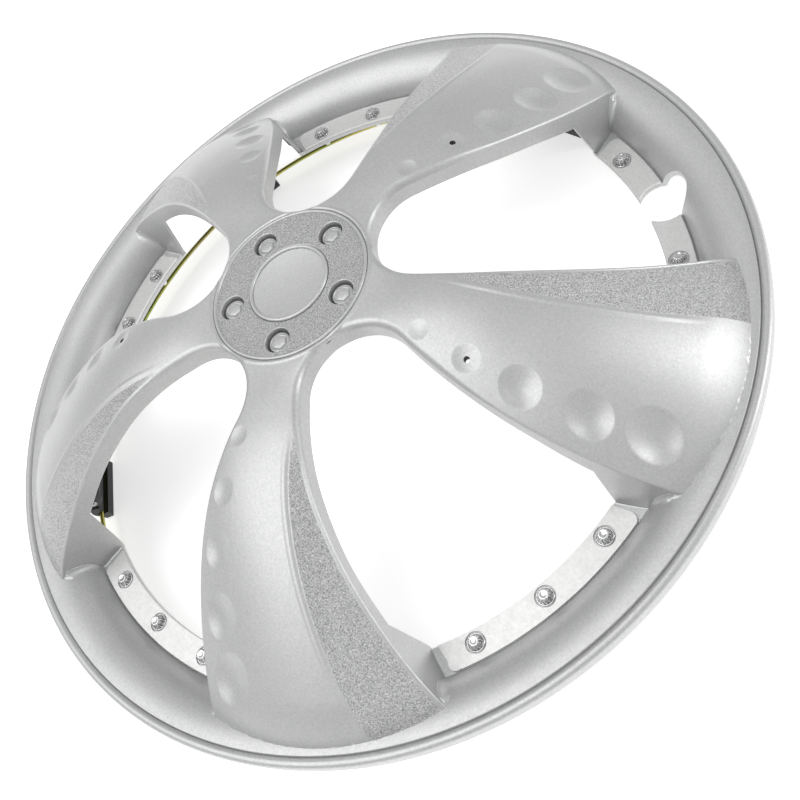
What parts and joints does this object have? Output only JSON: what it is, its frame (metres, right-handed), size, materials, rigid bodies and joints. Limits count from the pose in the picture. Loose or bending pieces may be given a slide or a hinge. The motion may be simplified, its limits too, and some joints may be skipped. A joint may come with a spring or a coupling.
{
  "type": "wheel trim cover",
  "caption": "Round wheel trim with curved swept blades, open windows, a hub plate with dummy lug nuts, bolt strips, and pivoting clips sprung by a wire ring.",
  "frame": {"origin": "on the wheel axis, level with the tips of the clips that the part stands on", "axes": "+Z along the wheel axis, out of the decorated face; +X along the index line of the first blade"},
  "size_m": [0.414, 0.414, 0.0998],
  "materials": {
    "silver_paint": "metallic silver paint, satin",
    "hub_silver": "metallic silver paint, grained face",
    "cap_silver": "smooth metallic silver paint",
    "nut_silver": "smooth metallic silver paint",
    "strip_white": "satin silver-white",
    "bolt_chrome": "bright plated",
    "spring_steel": "plain spring steel",
    "yellow_zinc": "yellow zinc plated wire",
    "black_nylon": "moulded black, slight sheen",
    "pin_steel": "dark steel"
  },
  "bodies": {
    "cover": {"cover_shell": "silver_paint", "hub_plate": "hub_silver", "centre_cap": "cap_silver", "lug_nuts": "nut_silver", "hub_screws": "spring_steel", "valve_strip_a": "strip_white", "valve_strip_b": "strip_white", "bolt_strip_1": "strip_white", "bolt_strip_2": "strip_white", "bolt_strip_3": "strip_white", "bolt_strip_4": "strip_white", "spline_bolts_0": "bolt_chrome", "spline_bolts_1": "bolt_chrome", "spline_bolts_2": "bolt_chrome", "spline_bolts_3": "bolt_chrome", "spline_bolts_4": "bolt_chrome", "push_nuts_0": "spring_steel", "push_nuts_1": "spring_steel", "push_nuts_2": "spring_steel", "push_nuts_3": "spring_steel", "push_nuts_4": "spring_steel", "retention_ring": "yellow_zinc", "clip_pins": "pin_steel"},
    "clip_1": {"clip_1": "black_nylon"},
    "clip_2": {"clip_2": "black_nylon"},
    "clip_3": {"clip_3": "black_nylon"},
    "clip_4": {"clip_4": "black_nylon"},
    "clip_5": {"clip_5": "black_nylon"}
  },
  "joints": [
    {"name": "clip_1_pivot", "type": "hinge", "parent": "cover", "child": "clip_1", "pos_m": [0.17867, -0.01093, 0.02], "axis": [0.061, 0.9981, 0], "range_deg": [0, 6], "stiffness_Nm_per_rad": 0.6, "springref_deg": -2.86, "deforming": ["retention_ring"]},
    {"name": "clip_2_pivot", "type": "hinge", "parent": "cover", "child": "clip_2", "pos_m": [0.0656, 0.16654, 0.02], "axis": [-0.9304, 0.3665, 0], "range_deg": [0, 6], "stiffness_Nm_per_rad": 0.6, "springref_deg": -2.86, "deforming": ["retention_ring"]},
    {"name": "clip_3_pivot", "type": "hinge", "parent": "cover", "child": "clip_3", "pos_m": [-0.13812, 0.11386, 0.02], "axis": [-0.6361, -0.7716, 0], "range_deg": [0, 6], "stiffness_Nm_per_rad": 0.6, "springref_deg": -2.86, "deforming": ["retention_ring"]},
    {"name": "clip_4_pivot", "type": "hinge", "parent": "cover", "child": "clip_4", "pos_m": [-0.15097, -0.09618, 0.02], "axis": [0.5373, -0.8434, 0], "range_deg": [0, 6], "stiffness_Nm_per_rad": 0.6, "springref_deg": -2.86, "deforming": ["retention_ring"]},
    {"name": "clip_5_pivot", "type": "hinge", "parent": "cover", "child": "clip_5", "pos_m": [0.04482, -0.1733, 0.02], "axis": [0.9681, 0.2504, 0], "range_deg": [0, 6], "stiffness_Nm_per_rad": 0.6, "springref_deg": -2.86, "deforming": ["retention_ring"]}
  ]
}
